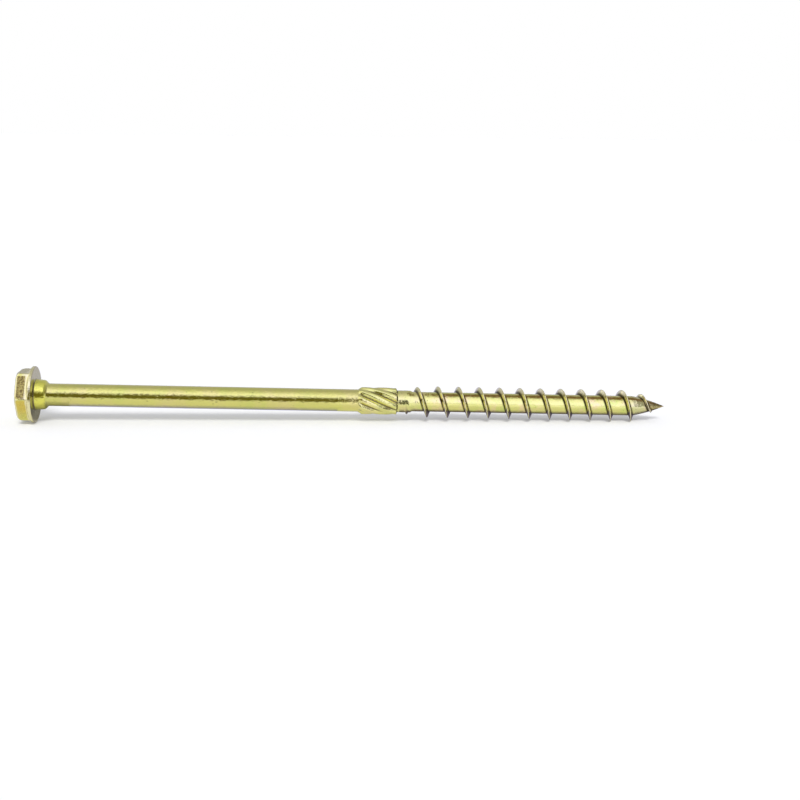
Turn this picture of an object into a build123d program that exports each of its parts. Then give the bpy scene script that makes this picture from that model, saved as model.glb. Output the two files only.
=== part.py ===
from build123d import *
import math
import os

# A timber lag screw: hex head with a forged washer flange and a six-lobe drive, a collar under
# the flange, a plain shank, a milling section of twisted ribs and a coarse wood thread with a
# tapered point. It is one forged and rolled piece of steel. Millimetres and degrees.
#
# It is built upright, on the Z axis: the flange's bearing face is at z = 0, the head is below it
# and the point is at z = screw_length. It is then laid down as it rests on a table, on the rim
# of the flange and the crest of the thread.

# ---- Driving dimensions ----

screw_length = 200.0  # bearing face to point

# Head
head_height = 5.2  # bearing face to the top of the head
hex_across_flats = 15.0
hex_corner_round = 0.6  # radius of the six upright edges
head_edge_bevel = 0.4  # 45 degree bevel all round the top face
head_crown_diameter = 15.2  # where the cone that takes the corners off meets the top face
head_crown_angle = 40.0  # slope of that cone
flange_diameter = 17.8
flange_rim_height = 1.1
flange_edge_break = 0.22  # 45 degree bevel on both edges of the rim
flange_slope = 21.0  # rise of the flange's upper side towards the hex
seat_bevel = 0.25  # between the bearing face and the collar

# Six-lobe drive recess
recess_across_lobes = 6.75
recess_across_valleys = 4.85
recess_lobe_radius = 0.56
recess_depth = 4.0
recess_floor_slope = 31.0
recess_mouth_diameter = 7.5
recess_mouth_slope = 30.0

# Collar and shank
collar_root_diameter = 9.7
collar_end_diameter = 9.2
collar_length = 3.0
collar_step_length = 0.9
shank_diameter = 7.1

# Milling ribs and the neck between them and the thread
rib_count = 8
rib_diameter = 8.6
rib_length = 12.7
rib_lead = 50.0
rib_land_share = 0.64  # share of the pitch that is land, the rest is groove
rib_wall_lean = 30.0  # lean of the groove walls from upright
rib_run_in = 0.9
rib_run_out = 0.15
rib_turn = 42.0  # angle of one groove's middle at the end of the ribs
neck_diameter = 7.0
neck_length = 4.2
neck_step_length = 0.4

# Thread
thread_length = 84.3
thread_diameter = 10.0
thread_pitch = 6.6
thread_crest_width = 0.18
thread_flank_angle = 40.0  # included angle between the flanks
thread_core_diameter = 6.3
thread_turn = -60.0  # angle at which the thread starts
thread_on_neck = 2.0  # how much of the neck the start of the thread covers
thread_rise_turns = 0.13  # over which it first rises steeply out of the neck
thread_rise_diameter = 8.1  # crest at the end of that rise
thread_run_in_turns = 0.9  # from the start of the thread to its full height
thread_run_out_length = 9.8  # from the end of the full height to the tip
thread_end_gap = 1.0  # from the end of the thread to the tip

# Point: a long cone, then a steeper one at the very end
point_length = 10.5
point_tip_length = 4.5
point_tip_diameter = 3.5  # where the steeper cone starts

# ---- Derived dimensions ----

DEPTH_IN_CORE = 0.25  # how far a rib or the thread is rooted in the metal below it
DEPTH_IN_HEX = 0.8  # how far the flange's cone runs in under the flats of the hex
OVERRUN = 0.5  # how far a solid that trims, or is trimmed, reaches past the cut
LEAST_GROOVE = 2.0  # degrees of groove floor that the lands always leave
LEAST_LAND = 2.0  # degrees of land that are left where the section trims them

flange_radius = flange_diameter / 2
shank_radius = shank_diameter / 2
neck_radius = neck_diameter / 2
core_radius = thread_core_diameter / 2
thread_radius = thread_diameter / 2
hex_corner_radius = hex_across_flats / math.sqrt(3)

thread_start = screw_length - thread_length
neck_end = thread_start + thread_on_neck
rib_end = neck_end - neck_length
rib_start = rib_end - rib_length
point_start = screw_length - point_length
run_out_start = screw_length - thread_run_out_length


def radial(radius, angle):
    """The point at that radius and angle in the XY plane."""
    return (radius * math.cos(math.radians(angle)), radius * math.sin(math.radians(angle)))


def turned(outline):
    """The solid swept around the Z axis by an outline of (radius, height) points."""
    return revolve(Plane.XZ * make_face(outline), Axis.Z)


# ---- Turned body: flange, collar, shank, neck, core and point ----


def turned_body():
    """Everything that is round: the flange with the cone under the hex, collar, shank and point."""
    rim_inner = flange_radius - flange_edge_break
    rim_top = -flange_rim_height
    cone_inner = hex_across_flats / 2 - DEPTH_IN_HEX
    cone_rise = (rim_inner - cone_inner) * math.tan(math.radians(flange_slope))
    seat_radius = collar_root_diameter / 2
    outline = Polyline(
        (0, rim_top - cone_rise),
        (cone_inner, rim_top - cone_rise),
        (rim_inner, rim_top),
        (flange_radius, rim_top + flange_edge_break),
        (flange_radius, -flange_edge_break),
        (rim_inner, 0),
        (seat_radius + seat_bevel, 0),
        (seat_radius, seat_bevel),
        (collar_end_diameter / 2, collar_length),
        (shank_radius, collar_length + collar_step_length),
        (shank_radius, rib_end),
        (neck_radius, rib_end),
        (neck_radius, neck_end),
        (core_radius, neck_end + neck_step_length),
        (core_radius, point_start),
        (point_tip_diameter / 2, screw_length - point_tip_length),
        (0, screw_length),
        close=True,
    )
    return turned(outline)


# ---- Hex head ----


def hexagon(across_flats):
    """A hexagon with a flat towards +X and slightly rounded corners."""
    corners = [radial(across_flats / math.sqrt(3), 30 + 60 * k) for k in range(6)]
    sharp = make_face(Polyline(*corners, close=True))
    return fillet(sharp.vertices(), hex_corner_round)


def hex_head():
    """The hex with a bevel round its top face and a cone that takes its corners off."""
    wall = extrude(hexagon(hex_across_flats), head_height - head_edge_bevel, dir=(0, 0, -1))
    bevel = Pos(0, 0, head_edge_bevel - head_height) * extrude(
        hexagon(hex_across_flats), head_edge_bevel, dir=(0, 0, -1), taper=45
    )
    crown_radius = head_crown_diameter / 2
    reach = hex_corner_radius + OVERRUN
    drop = (reach - crown_radius) * math.tan(math.radians(head_crown_angle))
    crown = turned(
        Polyline(
            (0, 0),
            (0, -head_height),
            (crown_radius, -head_height),
            (reach, drop - head_height),
            (reach, 0),
            close=True,
        )
    )
    return (wall + bevel) & crown


# ---- Drive recess ----


def lobe_outline():
    """The six-lobe outline: round lobes joined by tangent hollow arcs, a lobe at each hex corner."""
    lobe_centre = recess_across_lobes / 2 - recess_lobe_radius
    valley = recess_across_valleys / 2
    # the hollow arc passes through the valley and touches the lobes on both sides of it
    cos_30 = math.cos(math.radians(30))
    hollow_radius = (
        lobe_centre**2 + valley**2 - 2 * lobe_centre * valley * cos_30 - recess_lobe_radius**2
    ) / (2 * (recess_lobe_radius - valley + lobe_centre * cos_30))
    hollow_centre = valley + hollow_radius
    # a lobe's arc meets a hollow's on the line between their centres
    share = recess_lobe_radius / (recess_lobe_radius + hollow_radius)
    outline = []
    for k in range(6):
        lobe_angle = 30 + 60 * k
        at_lobe = Vector(*radial(lobe_centre, lobe_angle))
        before = Vector(*radial(hollow_centre, lobe_angle - 30))
        after = Vector(*radial(hollow_centre, lobe_angle + 30))
        start = at_lobe + (before - at_lobe) * share
        end = at_lobe + (after - at_lobe) * share
        next_lobe = Vector(*radial(lobe_centre, lobe_angle + 60))
        next_start = next_lobe + (after - next_lobe) * share
        outline.append(ThreePointArc(start, radial(recess_across_lobes / 2, lobe_angle), end))
        outline.append(ThreePointArc(end, radial(valley, lobe_angle + 30), next_start))
    return make_face(outline)


def recess():
    """The space cut out of the head: the lobed socket, its drilled floor and its countersunk mouth."""
    socket = Pos(0, 0, -head_height) * extrude(lobe_outline(), recess_depth)
    floor = recess_depth - head_height
    drill_radius = recess_across_valleys / 2
    mouth_radius = recess_mouth_diameter / 2
    drill = turned(
        Polyline(
            (0, -head_height),
            (drill_radius, -head_height),
            (drill_radius, floor),
            (0, floor + drill_radius * math.tan(math.radians(recess_floor_slope))),
            close=True,
        )
    )
    mouth = turned(
        Polyline(
            (0, -head_height),
            (mouth_radius, -head_height),
            (0, mouth_radius * math.tan(math.radians(recess_mouth_slope)) - head_height),
            close=True,
        )
    )
    return socket + drill + mouth


# ---- Milling ribs ----


def ribs():
    """Twisted lands around the shank, trimmed to their diameter, run-in and run-out."""
    rib_radius = rib_diameter / 2
    top = rib_radius + OVERRUN
    root = min(shank_radius, neck_radius) - DEPTH_IN_CORE
    share = 360 / rib_count
    half_land = share * rib_land_share / 2
    # how far a groove wall leans, in degrees around the axis for each millimetre of depth
    lean = math.degrees(math.tan(math.radians(rib_wall_lean)) / rib_radius)
    half_top = max(half_land - lean * OVERRUN, LEAST_LAND / 2)
    half_root = min(half_land + lean * (rib_radius - root), (share - LEAST_GROOVE) / 2)
    outline = []
    for k in range(rib_count):
        middle = share * (k + 0.5)
        corners = [
            radial(root, middle - half_root),
            radial(top, middle - half_top),
            radial(top, middle + half_top),
            radial(root, middle + half_root),
            radial(root, middle + share - half_root),
        ]
        outline.append(Line(corners[0], corners[1]))
        outline.append(ThreePointArc(corners[1], radial(top, middle), corners[2]))
        outline.append(Line(corners[2], corners[3]))
        outline.append(ThreePointArc(corners[3], radial(root, middle + share / 2), corners[4]))
    start_z = -OVERRUN
    run = rib_length + 2 * OVERRUN
    start_turn = rib_turn - 360 * (rib_length + OVERRUN) / rib_lead
    section = Pos(0, 0, start_z) * Rot(0, 0, start_turn) * make_face(outline)
    lands = Solid.extrude_linear_with_rotation(
        section.face(), center=(0, 0, start_z), normal=(0, 0, run), angle=360 * run / rib_lead
    )
    envelope = turned(
        Polyline(
            (0, 0),
            (root, 0),
            (shank_radius, 0),
            (rib_radius, rib_run_in),
            (rib_radius, rib_length - rib_run_out),
            (root, rib_length),
            (0, rib_length),
            close=True,
        )
    )
    return Pos(0, 0, rib_start) * (lands & envelope)


# ---- Thread ----


def helix(start_radius, end_radius, start_z, end_z, start_angle):
    """A right-hand helix of the thread's pitch whose radius changes evenly along it."""
    height = end_z - start_z
    cone = math.degrees(math.atan2(end_radius - start_radius, height))
    pitch_on_cone = thread_pitch / math.cos(math.radians(cone))
    edge = Edge.make_helix(pitch_on_cone, height, start_radius, angle=cone)
    return Pos(0, 0, start_z) * Rot(0, 0, start_angle) * edge


def thread_angle(z):
    """The angle at which the middle of the thread's crest passes height z."""
    return thread_turn + 360 * (z - thread_start) / thread_pitch


def thread_corners(z, root, crest):
    """The section of the thread at height z: root and crest, head side first."""
    half_crest = thread_crest_width / 2
    full_depth = thread_radius - core_radius + DEPTH_IN_CORE
    half_root = half_crest + full_depth * math.tan(math.radians(thread_flank_angle / 2))
    return [
        (root, z - half_root),
        (crest, z - half_crest),
        (crest, z + half_crest),
        (root, z + half_root),
    ]


def thread():
    """One ridge: it rises out of the neck, grows to full height, then runs out down the point."""
    rise_end = thread_start + thread_rise_turns * thread_pitch
    full_start = thread_start + thread_run_in_turns * thread_pitch
    end = screw_length - thread_end_gap
    buried = core_radius - DEPTH_IN_CORE
    end_crest = point_tip_diameter / 2 * thread_end_gap / point_tip_length - DEPTH_IN_CORE / 2
    stations = [
        (thread_start, buried, neck_radius - DEPTH_IN_CORE / 2),
        (rise_end, buried, thread_rise_diameter / 2),
    ]
    full_turns = math.ceil((run_out_start - full_start) / thread_pitch)
    for k in range(full_turns + 1):
        z = full_start + (run_out_start - full_start) * k / full_turns
        stations.append((z, buried, thread_radius))
    stations.append((end, end_crest / 2, end_crest))

    faces = []
    for (z0, root0, crest0), (z1, root1, crest1) in zip(stations, stations[1:]):
        lower = thread_corners(z0, root0, crest0)
        upper = thread_corners(z1, root1, crest1)
        edges = [
            helix(radius0, radius1, at0, at1, thread_angle(z0))
            for (radius0, at0), (radius1, at1) in zip(lower, upper)
        ]
        for k in range(4):
            faces.append(Face.make_surface_from_curves(edges[k], edges[(k + 1) % 4]))
    for z, root, crest in (stations[0], stations[-1]):
        corners = [(radius, 0, at) for radius, at in thread_corners(z, root, crest)]
        cap = make_face(Polyline(*corners, close=True))
        faces.append((Rot(0, 0, thread_angle(z)) * cap).face())
    return Solid(Shell(faces))


# ---- Laying the screw down ----


def resting_tilt():
    """The dip of the axis when the flange's rim and the last full crest below touch the table."""
    turns_to_bottom = math.floor(thread_angle(run_out_start) / 360)
    crest_z = thread_start + (360 * turns_to_bottom - thread_turn) / 360 * thread_pitch
    rim_z = -flange_edge_break
    return math.degrees(math.atan2(flange_radius - thread_radius, crest_z - rim_z))


def laid_down(upright):
    """The screw on its side, point towards +X, its box centred on the origin and standing on z = 0."""
    lying = Rot(0, 90 + resting_tilt(), 0) * upright
    box = lying.bounding_box()
    return Pos(-box.center().X, -box.center().Y, -box.min.Z) * lying


upright = turned_body() + hex_head() + ribs() + thread() - recess()
screw = laid_down(upright)

os.makedirs("parts", exist_ok=True)
export_step(screw, "parts/lag_screw.step")
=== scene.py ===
# %% [markdown]
# # A timber lag screw in yellow zinc
# The real screw is one piece of steel wire: the head is forged, the ribs and the thread are rolled,
# and the whole is zinc plated and dipped in chromate, which gives the glossy olive and gold colour.
# So there is nothing to assemble here. The lesson is one good mesh and one good metal.
#
# The screw is a long thing with a different shape at each place along its axis. It could be made
# with a screw modifier and booleans, but those leave long thin faces that spoil a mirror finish.
# Here it is knitted from rings, column by column, so that every edge gets a small true rounding.

import math

import bmesh
import bpy
import numpy as np
from mathutils import Matrix, Vector


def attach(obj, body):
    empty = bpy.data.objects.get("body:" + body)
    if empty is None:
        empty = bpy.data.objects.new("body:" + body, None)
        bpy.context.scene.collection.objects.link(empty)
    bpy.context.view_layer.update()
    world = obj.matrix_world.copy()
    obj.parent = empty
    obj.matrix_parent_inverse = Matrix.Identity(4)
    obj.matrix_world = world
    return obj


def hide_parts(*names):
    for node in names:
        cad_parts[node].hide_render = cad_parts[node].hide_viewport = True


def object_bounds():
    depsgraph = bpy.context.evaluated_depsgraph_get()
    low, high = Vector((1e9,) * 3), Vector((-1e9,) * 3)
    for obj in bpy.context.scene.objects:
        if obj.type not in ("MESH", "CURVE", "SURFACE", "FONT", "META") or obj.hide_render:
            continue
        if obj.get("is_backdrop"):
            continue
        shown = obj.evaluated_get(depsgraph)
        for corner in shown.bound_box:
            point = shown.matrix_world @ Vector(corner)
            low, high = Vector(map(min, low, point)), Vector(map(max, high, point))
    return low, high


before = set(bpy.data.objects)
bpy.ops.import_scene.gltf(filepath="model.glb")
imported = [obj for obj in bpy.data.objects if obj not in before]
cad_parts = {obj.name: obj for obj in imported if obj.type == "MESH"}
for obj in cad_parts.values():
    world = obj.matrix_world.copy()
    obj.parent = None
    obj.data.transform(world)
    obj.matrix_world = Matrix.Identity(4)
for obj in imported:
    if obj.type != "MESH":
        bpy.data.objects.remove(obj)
cad_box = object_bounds()
MM = 0.001  # a millimetre, in the frame's metres
print("frame:", [round(side / MM, 2) for side in cad_box[1] - cad_box[0]], "mm")

# %% [markdown]
# ## The sizes
# Every size is in millimetres. Places are measured along the screw's own axis: 0 is the bearing
# face of the flange, the head is on the negative side and the point is at the full length. Angles,
# slopes and turns are in degrees, and what has turns in its name is in turns of the thread.

# %% Sizes of the head
screw_length = 200.0
head_height = 5.2
hex_across_flats = 15.0
hex_corner_round = 0.6
head_edge_bevel = 0.4
head_crown_diameter = 15.2
head_crown_angle = 40.0
flange_diameter = 17.8
flange_rim_height = 1.1
flange_edge_break = 0.22
flange_slope = 21.0
seat_bevel = 0.25
recess_across_lobes = 6.75
recess_across_valleys = 4.85
recess_lobe_radius = 0.56
recess_depth = 4.0
recess_floor_slope = 31.0
recess_mouth_diameter = 7.5
recess_mouth_slope = 30.0
print(f"head: {hex_across_flats} mm hex, {head_height} mm high, on a {flange_diameter} mm flange")

# %% Sizes of the collar, shank, ribs and neck
collar_root_diameter = 9.7
collar_end_diameter = 9.2
collar_length = 3.0
collar_step_length = 0.9
shank_diameter = 7.1
rib_count = 8
rib_diameter = 8.6
rib_length = 12.7
rib_lead = 50.0  # millimetres in which a rib would go once round
rib_groove_top = 16.2  # degrees that a groove takes at the top of the lands
rib_groove_floor = 4.6  # and at its floor
rib_shoulder = 36.0  # degrees from one land's level middle to the next one's
rib_shoulder_drop = 0.42
rib_run_in = 1.5
rib_run_out = 0.3
rib_turn = 42.0  # where a groove meets the end of the ribs
neck_diameter = 7.0
neck_length = 4.2
neck_step_length = 0.4
print(f"shank: {shank_diameter} mm; ribs: {rib_diameter} mm; neck: {neck_diameter} mm")

# %% Sizes of the thread and the point
thread_length = 84.3
thread_diameter = 10.0
thread_pitch = 6.6
thread_crest_width = 0.18
thread_flank_angle = 40.0
thread_core_diameter = 6.3
thread_turn = -60.0  # where the crest starts
thread_on_neck = 2.0
thread_rise_turns = 0.13
thread_rise_diameter = 8.1
thread_run_in_turns = 0.9
thread_run_out_length = 9.8
thread_end_gap = 1.0
point_length = 10.5
print(f"thread: {thread_diameter} x {thread_length} mm, {thread_pitch} mm pitch")

# %% [markdown]
# ## Places that follow from them
# Nothing here is chosen: the start of each form comes from the sizes before it. The screw lies on
# two places, the rim of its flange and the last full crest that passes the underside. The axis
# dips by the angle that the difference of their two radii makes over the length between them.

# %% Places along the axis, and the tilt
flange_radius = flange_diameter / 2
shank_radius = shank_diameter / 2
neck_radius = neck_diameter / 2
core_radius = thread_core_diameter / 2
thread_radius = thread_diameter / 2
thread_start = screw_length - thread_length
neck_end = thread_start + thread_on_neck
rib_end = neck_end - neck_length
rib_start = rib_end - rib_length
point_start = screw_length - point_length
run_out_start = screw_length - thread_run_out_length

turns_to_bottom = math.floor((run_out_start - thread_start) / thread_pitch + thread_turn / 360)
last_crest = thread_start + (turns_to_bottom - thread_turn / 360) * thread_pitch
tilt = math.atan2(flange_radius - thread_radius, last_crest + flange_edge_break)
print(f"the axis dips by {math.degrees(tilt):.3f} degrees towards the point")

# %% [markdown]
# ## From the screw's own axis to the table
# A lag screw can't stand, so it lies on the rim of its flange and the crest of its thread. The
# object could be modelled upright and turned by its own rotation, but then its data would stay in
# another frame than the solid's. So the mesh is worked out upright, round its own axis, and its
# points are turned down by this pair of functions. The second one goes back, and the finish uses
# it later to know where on the screw a point is.

# %% Lay down, and stand up again
axis_start = Vector(
    (
        cad_box[1].x / MM - screw_length * math.cos(tilt),
        0,
        flange_radius * math.cos(tilt) - flange_edge_break * math.sin(tilt),
    )
)


def laid_down(points):
    """Points round the upright axis, in millimetres, to the frame's place, in metres."""
    down, side, along = points[..., 0], points[..., 1], points[..., 2]
    x = axis_start.x + along * math.cos(tilt) - down * math.sin(tilt)
    z = axis_start.z - along * math.sin(tilt) - down * math.cos(tilt)
    return np.stack([x, side, z], -1) * MM


def stood_up(points):
    """The way back: the frame's metres to millimetres round the upright axis."""
    x, z = points[..., 0] / MM - axis_start.x, points[..., 2] / MM - axis_start.z
    along = x * math.cos(tilt) - z * math.sin(tilt)
    down = -x * math.sin(tilt) - z * math.cos(tilt)
    return np.stack([down, points[..., 1] / MM, along], -1)


print("the axis starts at", [round(v, 3) for v in axis_start], "mm")

# %% [markdown]
# ## Rings and columns
# Every ring has the same number of points, so two neighbouring rings always join with plain
# four-sided faces. The columns are not evenly spread: they crowd together where the shape turns
# sharply. Round the head that is at the hexagon's six corners, where the lobes of the recess are
# too, so the same columns serve both.


# %% A ring of points
def cos_deg(angle):
    return np.cos(np.radians(angle))


def sin_deg(angle):
    return np.sin(np.radians(angle))


def tan_deg(angle):
    return np.tan(np.radians(angle))


def ring(radius, angle, along):
    """Points round the axis; radius and place may differ from column to column."""
    radius, angle, along = np.broadcast_arrays(radius, angle, along)
    return np.stack([radius * cos_deg(angle), radius * sin_deg(angle), along], -1)


print("a ring's first point, at 0 degrees, is on the underside:", ring(1.0, 0.0, 0.0).tolist())

# %% Columns of the head
# Degrees from a corner of the hexagon, and the middle of its flat.
corner_steps = [0.7, 1.35, 2.0, 2.7, 4.2, 6.0, 8.0, 10.3, 12.0, 14.5, 17.5, 21.0, 25.5]
corner_columns = sorted([-step for step in corner_steps] + [0.0] + corner_steps + [30.0])
head_angles = np.array([30 + 60 * k + step for k in range(6) for step in corner_columns])
column_count = len(head_angles)
print(column_count, "columns")

# %% [markdown]
# ## The outlines of the hex and of the recess
# The hex takes a socket and the recess takes a six-lobe bit. Both could be drawn as curves and
# cut with booleans. Written as a distance from the axis at each angle instead, they fit straight
# into the columns. The hexagon is its flat's distance divided by the cosine, with a small arc over
# each corner. The recess is a round lobe that runs over into a hollow arc, tangent to it.

# %% The hexagon
from_corner = head_angles % 60 - 30
from_flat = 30 - np.abs(from_corner)


def hex_distance():
    """The hexagon with rounded corners."""
    flat = hex_across_flats / 2
    corner_centre = (flat - hex_corner_round) / cos_deg(30)
    on_flat = flat / cos_deg(from_flat)
    sideways = corner_centre * sin_deg(from_corner)
    inside = np.maximum(hex_corner_round**2 - sideways**2, 0)
    on_corner = corner_centre * cos_deg(from_corner) + np.sqrt(inside)
    tangent = 30 - math.degrees(math.atan2((flat - hex_corner_round) * tan_deg(30), flat))
    return np.where(np.abs(from_corner) < tangent, on_corner, on_flat)


hex_wall = hex_distance()
print(f"hex {hex_wall.min():.2f} to {hex_wall.max():.2f} mm from the axis")


# %% The six-lobe recess
def lobe_distance():
    """Lobes at the hexagon's corners and hollows at its flats."""
    centre = recess_across_lobes / 2 - recess_lobe_radius
    valley = recess_across_valleys / 2
    reach = centre * cos_deg(30)
    hollow_radius = (
        centre**2 + valley**2 - 2 * valley * reach - recess_lobe_radius**2
    ) / (2 * (recess_lobe_radius - valley + reach))
    hollow_centre = valley + hollow_radius
    share = recess_lobe_radius / (recess_lobe_radius + hollow_radius)
    meet_x = centre + (hollow_centre * cos_deg(30) - centre) * share
    meet = math.degrees(math.atan2(hollow_centre * sin_deg(30) * share, meet_x))
    off = np.abs(from_corner)
    lobe_inside = np.maximum(recess_lobe_radius**2 - (centre * sin_deg(off)) ** 2, 0)
    lobe = centre * cos_deg(off) + np.sqrt(lobe_inside)
    hollow_inside = np.maximum(hollow_radius**2 - (hollow_centre * sin_deg(30 - off)) ** 2, 0)
    hollow = hollow_centre * cos_deg(30 - off) - np.sqrt(hollow_inside)
    return np.where(off < meet, lobe, hollow)


lobe_wall = lobe_distance()
print(f"recess {lobe_wall.min():.2f} to {lobe_wall.max():.2f} mm from the axis")

# %% [markdown]
# ## Profiles with rounded corners
# A forged head has no razor edges. A bevel modifier could round them afterwards, but with one
# width for all. Here each column's profile is a row of corners, and each corner has its own
# rounding. A corner is replaced by a short curve that starts and ends along its two sides, with
# one more point on each side to keep the flat next to it flat when the mesh is shaded smooth.

# %% Round the corners of a profile
curve_steps = 4
guard_share = 0.35  # how far past a curve its guard points lie, as a share of the rounding
side_share = 0.42  # the most of a side that one rounding may take


def rounded_profile(corners):
    """(radius, place) for each column, from corners given as (radius, place, rounding)."""
    every_column = np.zeros(column_count)
    points = [np.stack([radius + every_column, along + every_column], -1) for radius, along, _ in corners]
    profile = [points[0]]
    for k in range(1, len(points) - 1):
        rounding = corners[k][2]
        before, after = points[k - 1] - points[k], points[k + 1] - points[k]
        before_length = np.linalg.norm(before, axis=-1, keepdims=True)
        after_length = np.linalg.norm(after, axis=-1, keepdims=True)
        start = points[k] + before / before_length * np.minimum(rounding, side_share * before_length)
        end = points[k] + after / after_length * np.minimum(rounding, side_share * after_length)
        profile.append(start + (start - points[k]) * guard_share)
        for step in range(curve_steps + 1):
            t = step / curve_steps
            profile.append((1 - t) ** 2 * start + 2 * t * (1 - t) * points[k] + t**2 * end)
        profile.append(end + (end - points[k]) * guard_share)
    profile.append(points[-1])
    return profile


# %% [markdown]
# ## The head
# A cold forged head is one flow of metal, so it is one profile too. It starts at the bottom of the
# recess, climbs its wall, crosses the face of the head, turns down over the bevel and along the
# hex wall, runs out over the washer flange and round its rim, comes back along the bearing face
# and ends on the shank, past the collar.

# %% Heights and radii of the head
recess_floor = recess_depth - head_height
drill_radius = recess_across_valleys / 2
drill_tip = recess_floor + drill_radius * tan_deg(recess_floor_slope)
drill_pin = 0.02  # radius of the first ring, which one flat face closes
wall_draft = 0.02  # the recess is a little narrower at its floor
mouth_radius = recess_mouth_diameter / 2
mouth_edge = -head_height + (mouth_radius - lobe_wall) * tan_deg(recess_mouth_slope)
crown_radius = head_crown_diameter / 2
bevel_start = (hex_across_flats / 2 - head_edge_bevel) / cos_deg(from_flat)
crown_drop = np.maximum(hex_wall - crown_radius, 0) * tan_deg(head_crown_angle)
wall_top = -head_height + np.maximum(crown_drop, head_edge_bevel)
rim_inner = flange_radius - flange_edge_break
wall_foot = -flange_rim_height - (rim_inner - hex_wall) * tan_deg(flange_slope)
seat_radius = collar_root_diameter / 2
collar_end = collar_length + collar_step_length
shank_from = collar_end + collar_step_length
print(f"the wall of the hex starts {-wall_foot.max():.2f} to {-wall_foot.min():.2f} mm up")

# %% Knit the head
rings = []  # from the floor of the recess to the neck
head_corners = [  # radius, place along the axis, rounding
    (drill_pin, drill_tip, 0),
    (drill_radius / 2, (drill_tip + recess_floor) / 2, 0.1),
    (drill_radius, recess_floor, 0.06),
    (lobe_wall - wall_draft, recess_floor, 0.05),
    (lobe_wall, mouth_edge, 0.08),
    (mouth_radius, -head_height, 0.12),
    (np.minimum(crown_radius, bevel_start), -head_height, 0.5),
    (hex_wall, wall_top, 0.65),
    (hex_wall, wall_foot, 0.75),
    (rim_inner, -flange_rim_height, 0.14),
    (flange_radius, -flange_rim_height + flange_edge_break, 0.1),
    (flange_radius, -flange_edge_break, 0.25),
    (rim_inner, 0.0, 0.25),
    (seat_radius + seat_bevel, 0.0, 0.12),
    (seat_radius, seat_bevel, 0.12),
    (collar_end_diameter / 2, collar_length, 0.45),
    (shank_radius, collar_end, 0.45),
    (shank_radius, shank_from, 0),
]
for profile in rounded_profile(head_corners):
    rings.append(ring(profile[:, 0], head_angles, profile[:, 1]))
print(len(rings), "rings in the head and the collar")

# %% [markdown]
# ## The shank
# The shank is plain drawn wire. A cylinder would do for it, but it has to join the head to the
# ribs without a seam, so it is rings as well, and needs few. On the way, the columns slide round
# from where the hexagon wants them to where the ribs want them: on a plain cylinder nobody can see
# that they moved.

# %% Columns of the ribs
# Degrees from the middle of a groove: its floor, its two walls, and the land next to it.
groove_steps = [1.3, 2.3, 3.2, 5.0, 7.0, 8.1, 9.2, 11.6, 14.6, 18.0]
groove_columns = sorted([-step for step in groove_steps] + [0.0] + groove_steps)
rib_pitch = 360 / rib_count
twist = 360 / rib_lead  # degrees for each millimetre
groove_starts = rib_turn - twist * rib_length + rib_pitch * np.arange(rib_count)
rib_angles = np.array([start + step for start in groove_starts for step in groove_columns])
assert len(rib_angles) == column_count


def nearest_start(angles, target):
    """The angles, started at another column and by whole turns, to lie nearest to the target."""
    best = None
    for shift in range(len(angles)):
        moved = np.concatenate([angles[shift:], angles[:shift] + 360])
        moved -= 360 * np.round(np.mean(moved - target) / 360)
        off = np.abs(np.mean(moved - target))
        if best is None or off < best[0]:
            best = (off, moved, shift)
    return best[1], best[2]


rib_angles, rib_shift = nearest_start(rib_angles, head_angles)
from_groove = np.abs(np.roll(np.tile(groove_columns, rib_count), -rib_shift))
print(f"the columns slide by up to {np.abs(rib_angles - head_angles).max():.0f} degrees")

# %% Knit the shank
shank_rings = 44
for k in range(1, shank_rings + 1):
    share = k / (shank_rings + 1)
    along = shank_from + (rib_start - shank_from) * share
    rings.append(ring(shank_radius, head_angles + (rib_angles - head_angles) * share, along))
print(f"shank: {rib_start - shank_from:.1f} mm in {shank_rings} rings")

# %% [markdown]
# ## The milling ribs
# Eight flat lands with narrow grooves between them mill the hole wider for the shank. They are
# rolled in at a slant. Grooves could be cut with booleans, at the price of ragged faces along
# every edge. The rings here turn a little from one to the next instead, so that the columns run
# along the grooves, and a groove's edge is one clean line of the mesh.


# %% The shape of a land
def smooth_step(value):
    value = np.clip(value, 0, 1)
    return value * value * (3 - 2 * value)


half_floor, half_top = rib_groove_floor / 2, rib_groove_top / 2
land_share = np.clip((from_groove - half_floor) / (half_top - half_floor), 0, 1)
from_level = np.clip((rib_shoulder / 2 - from_groove) / (rib_shoulder / 2 - half_top), 0, 1)
land_top = rib_diameter / 2 - rib_shoulder_drop * from_level**2
print(f"a land falls from {land_top.max():.2f} to {land_top.min():.2f} mm at its edge")

# %% Knit the ribs
# Many rings where the lands rise and fall, and even steps between.
land_end = rib_length - rib_run_out
rib_places = [0.0, 0.1, 0.3, 0.6, rib_run_in - 0.1, rib_run_in, rib_run_in + 0.15]
rib_places += list(np.linspace(rib_run_in + 0.5, land_end - 0.4, 22))
rib_places += [land_end - 0.16, land_end - 0.05, land_end, rib_length - 0.04, rib_length]
for place in rib_places:
    rise = smooth_step(place / rib_run_in)
    fall = np.clip((rib_length - place) / rib_run_out, 0, 1)
    groove_radius = neck_radius + (shank_radius - neck_radius) * fall
    radius = groove_radius + (land_top - groove_radius) * land_share * min(rise, fall)
    rings.append(ring(radius, rib_angles + twist * place, rib_start + place))
print(f"ribs: {rib_count} lands, {twist * rib_length:.0f} degrees of twist")

# %% [markdown]
# ## The thread
# A wood thread is a thin fin that winds round a thinner core. A screw modifier would wind it, but
# leave it as a separate strip that has to be joined to the core. Here the mesh follows the fin:
# each line of points is a piece of the same helix, a little further along the screw, so the crest,
# the two flanks and the fillets at their roots are unbroken lines. After one turn, a line meets the
# line that is one pitch further on, so the end of one is the start of another.
#
# At both ends the lines are stopped at a fixed place. There they pile up on the same points, and
# these are merged at the end.

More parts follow.
